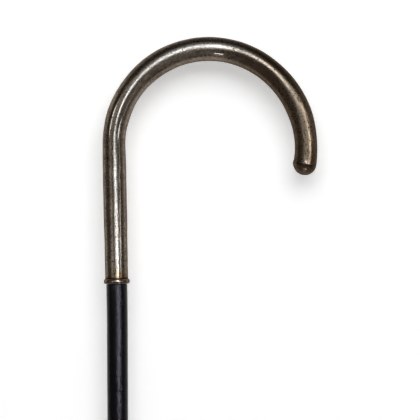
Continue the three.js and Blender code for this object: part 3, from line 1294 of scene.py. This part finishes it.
@dataclass
class Studio:
    """A white card close behind the stick and under it, a grey floor, soft lamps and the camera."""

    stick: Stick
    image_px: float = 420.0
    mouth_px: tuple[float, float] = (116.8, 283.75)
    pixel: float = 0.6041 * MM
    roll: float = math.radians(0.236)
    camera_distance: float = 1.5
    sensor: float = 36.0
    card_gap: float = 18 * MM
    card_left: float = -95 * MM
    card_right: float = 205 * MM
    card_top: float = 917 * MM
    card_foot: float = 200 * MM  # how far the card reaches forwards under the stick
    card_thickness: float = 1 * MM
    card_colour: float = 0.85
    card_glow: float = 0.4
    foot_glow: float = 0.8
    floor_size: float = 30.0
    floor_greys: Span = (0.42, 0.46)
    floor_mottles: float = 3.0  # to a metre
    floor_glow: float = 0.05
    room: tuple[tuple[float, Colour], ...] = (
        (0.0, grey(0.4)),
        (0.15, grey(0.4)),
        (0.25, DIM_BROWN),
        (0.52, DIM_BROWN),
        (0.57, grey(0.3)),
        (1.0, grey(0.4)),
    )  # from straight in front of the stick, at 0, round to straight behind it, at 1
    room_height: Fit = (0.2, 0.6, 1.0, 0.55)  # from how steeply a ray rises to how bright the room is there
    # Apart from the first two, each lamp is named for the part of the stick that it gleams on.
    boxes: tuple[SoftBox, ...] = (
        SoftBox("sky_box", CROOK, 5, 32, 2.0, (1.87, 1.3), 3.4, Tint.WHITE, lit=Lit.MATT),
        SoftBox("front_box", CROOK, 0, 14, 2.0, (2.4, 1.0), 0.6, Tint.WHITE, lit=Lit.MATT),
        SoftBox("top_core", ARCH, 11, 26, 2.0, (0.49, 0.75), 28.5),
        SoftBox("top_halo", ARCH, 10, 27, 2.0, (0.7, 1.4), 8.2),
        SoftBox("top_glow", ARCH, 13, 52, 2.0, (1.0, 1.0), 1.5),
        SoftBox("neck_box", (-0.001, 0, 0.785), 0, 4, 0.35, (0.075, 0.06), 41.0, cone=31),
        SoftBox("neck_strip", (0, 0, 0.767), 48, 0, 0.25, (0.012, 0.03), 160.0, cone=16),
        SoftBox("neck_card", (0, 0, 0.802), -37, 0, 0.095, (0.075, 0.14), 2.1, Tint.WHITE, 38),
        SoftBox("shaft_box", (0.003, 0, 0.692), 19, 3, 0.35, (0.034, 0.1), 205.0, Tint.VIOLET, 30),
        SoftBox("tail_box", TAIL, 39, 8, 0.25, (0.05, 0.09), 42.0, Tint.COOL, 40),
        SoftBox("tail_card", TAIL, 82, 5, 0.12, (0.08, 0.07), 0.9, Tint.COOL, 40),
        SoftBox("tail_strip", (0.112, 0, 0.823), -15, 0, 0.25, (0.01, 0.03), 90.0, Tint.COOL, 10),
        SoftBox("tip_low", (0.112, 0, 0.812), 12, -58, 0.2, (0.008, 0.01), 320.0, Tint.COOL, 16),
    )

    def build_camera(self) -> None:
        """Makes the camera, aimed so that the stick lies in the picture as in the photograph."""
        mouth = self.stick.handle_place.translation
        across = (self.image_px / 2 - self.mouth_px[0]) * self.pixel
        up = (self.mouth_px[1] - self.image_px / 2) * self.pixel
        right = Vector((math.cos(self.roll), 0, -math.sin(self.roll)))
        above = Vector((math.sin(self.roll), 0, math.cos(self.roll)))
        target = mouth + right * across + above * up
        data = bpy.data.cameras.new("studio_camera")
        data.sensor_width = self.sensor
        data.lens = self.sensor * self.camera_distance / (self.image_px * self.pixel)
        camera = bpy.data.objects.new("studio_camera", data)
        turn = Matrix((right, above, (0, -1, 0))).transposed().to_4x4()
        camera.matrix_world = Matrix.Translation(target + Vector((0, -self.camera_distance, 0))) @ turn
        bpy.context.collection.objects.link(camera)
        bpy.context.scene.camera = camera

    def card_material(self, name: str, glow: float) -> bpy.types.Material:
        """Makes white card that shows white in the picture, keeps soft shadows and is clear from behind.

        Args:
            name: The material's name.
            glow: How much light the card adds where it is seen, to be as white as the photograph's.

        Returns:
            The material.
        """
        material, tree, output = new_material(name)
        rays = add_node(tree, "LightPath").outputs
        seen = rays["Is Camera Ray"]
        for ray in ("Is Glossy Ray", "Is Transmission Ray"):
            seen = add_node(tree, "Math", [seen, rays[ray]], operation="MAXIMUM")
        strength = add_node(tree, "Math", [seen, glow], operation="MULTIPLY")
        card = add_node(tree, "BsdfDiffuse", {"Color": grey(self.card_colour)})
        shine = add_node(tree, "Emission", {"Strength": strength})
        front = add_node(tree, "AddShader", [card, shine])
        clear = add_node(tree, "BsdfTransparent")
        behind = add_node(tree, "NewGeometry").outputs["Backfacing"]
        mix = add_node(tree, "MixShader", [behind, front, clear])
        tree.links.new(mix.outputs[0], output.inputs[0])
        return material

    def floor_material(self) -> bpy.types.Material:
        """Makes the grey, matt paint of the floor, which gives the eye nothing but light and shadow.

        Its glow is seen only in the gleams of the stick, where it lifts the darkest of them.

        Returns:
            The material.
        """
        material, tree, output = new_material("matt_floor_paint")
        place = add_node(tree, "TexCoord").outputs["Object"]
        mottle = {"Vector": place, "Scale": self.floor_mottles, "Detail": 3.0}
        dark, light = (grey(level) for level in self.floor_greys)
        greys = {"Factor": add_node(tree, "TexNoise", mottle), 6: dark, 7: light}
        paint = add_node(tree, "BsdfDiffuse", {"Color": add_node(tree, "Mix", greys, **COLOURS)})
        in_gleams = add_node(tree, "LightPath").outputs["Is Glossy Ray"]
        strength = add_node(tree, "Math", [in_gleams, self.floor_glow], operation="MULTIPLY")
        glow = add_node(tree, "Emission", {"Strength": strength})
        both = add_node(tree, "AddShader", [paint, glow])
        tree.links.new(both.outputs[0], output.inputs[0])
        return material

    def plane(self, name: str, corners: Sequence[Sequence[float]], look: bpy.types.Material) -> None:
        """Adds a flat rectangle that isn't part of the stick.

        Args:
            name: The object's name.
            corners: Its corners, anticlockwise as seen from its front.
            look: Its material.
        """
        bm = bmesh.new()
        bm.faces.new([bm.verts.new(corner) for corner in corners])
        mesh = bpy.data.meshes.new(name)
        bm.to_mesh(mesh)
        bm.free()
        mesh.materials.append(look)
        thing = bpy.data.objects.new(name, mesh)
        bpy.context.collection.objects.link(thing)

    def build_world(self) -> None:
        """Makes the room: grey in front of the stick and behind it, brownish dark beside it, dimmer above."""
        world = bpy.data.worlds.new("studio_room")
        bpy.context.scene.world = world
        world.use_nodes = True
        tree = world.node_tree
        tree.nodes.clear()
        output = add_node(tree, "OutputWorld")
        towards = add_node(tree, "TexCoord").outputs["Generated"]
        axes = add_node(tree, "SeparateXYZ", [towards]).outputs
        round_to_back = add_node(tree, "MapRange", [axes["Y"], -1.0, 1.0])
        level = add_node(tree, "ValToRGB", [round_to_back], ramp=self.room)
        strength = add_node(tree, "MapRange", [axes["Z"], *self.room_height])
        background = add_node(tree, "Background", {"Color": level, "Strength": strength})
        tree.links.new(background.outputs[0], output.inputs[0])

    def build(self) -> None:
        """Makes the whole studio."""
        self.build_camera()
        self.plane(
            "card",
            (
                (self.card_left, self.card_gap, 0),
                (self.card_right, self.card_gap, 0),
                (self.card_right, self.card_gap, self.card_top),
                (self.card_left, self.card_gap, self.card_top),
            ),
            self.card_material("white_card", self.card_glow),
        )
        self.plane(
            "card_foot",
            (
                (self.card_left, -self.card_foot, self.card_thickness),
                (self.card_right, -self.card_foot, self.card_thickness),
                (self.card_right, self.card_gap, self.card_thickness),
                (self.card_left, self.card_gap, self.card_thickness),
            ),
            self.card_material("white_card_foot", self.foot_glow),
        )
        half = self.floor_size / 2
        self.plane(
            "floor",
            ((-half, -half, 0), (half, -half, 0), (half, half, 0), (-half, half, 0)),
            self.floor_material(),
        )
        self.build_world()
        for box in self.boxes:
            box.hang()
        bpy.context.scene.view_settings.view_transform = "Standard"


def dress_hidden(frame: dict, finishes: dict[str, bpy.types.Material]) -> None:
    """Gives the pieces hidden in the handle their materials.

    Args:
        frame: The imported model.
        finishes: A material by node name.
    """
    for node, material in finishes.items():
        mesh = frame["nodes"][node].data
        mesh.materials.clear()
        mesh.materials.append(material)
        log.info("%s: %s", node, material.name)


def main() -> None:
    """Builds the stick and its studio in order."""
    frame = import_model()
    stick = Stick()
    handle = Handle(stick)
    ferrule = Ferrule()
    plate = TarnishedPlate().build("tarnished_silver_plate", worn_shaded_mouth=True)
    ring = TarnishedPlate(rubbed="#7d7062", clouded="#5f5245", roughness=(0.16, 0.26), polish=0.0)
    bead_plate = ring.build("tarnished_bead_plate", worn_shaded_mouth=False)
    brass = AgedMetal("aged_brass", "#a98a4e", "#6b5430").build()
    steel = AgedMetal("worn_steel", "#8a8884", "#4c4843").build()
    iron = AgedMetal("black_iron", "#4a4642", "#2a2724", roughness=(0.5, 0.7)).build()
    # The cap's plate, with painted shade on its front just past the seam
    dome = TarnishedPlate(
        roughness=(0.26, 0.32),
        polish=0.0,
        tip_polish=0.0,
        peel_depth_mm=0.012,
        seam_shade_mm=(281.0, 279.4),
    )
    cap_plate = dome.build("tarnished_cap_plate", worn_shaded_mouth=False)
    handle.build(plate, cap_plate, bead_plate)
    Shaft(stick, handle, ferrule).build(EbonisedWood().build())
    ferrule.build(brass, steel)
    dress_hidden(frame, {"crook_filling": CastPitch().build(), "core_rod": iron})
    Studio(stick).build()


if __name__ == "__main__":
    logging.basicConfig(level=logging.INFO, format="%(name)s: %(message)s")
    main()
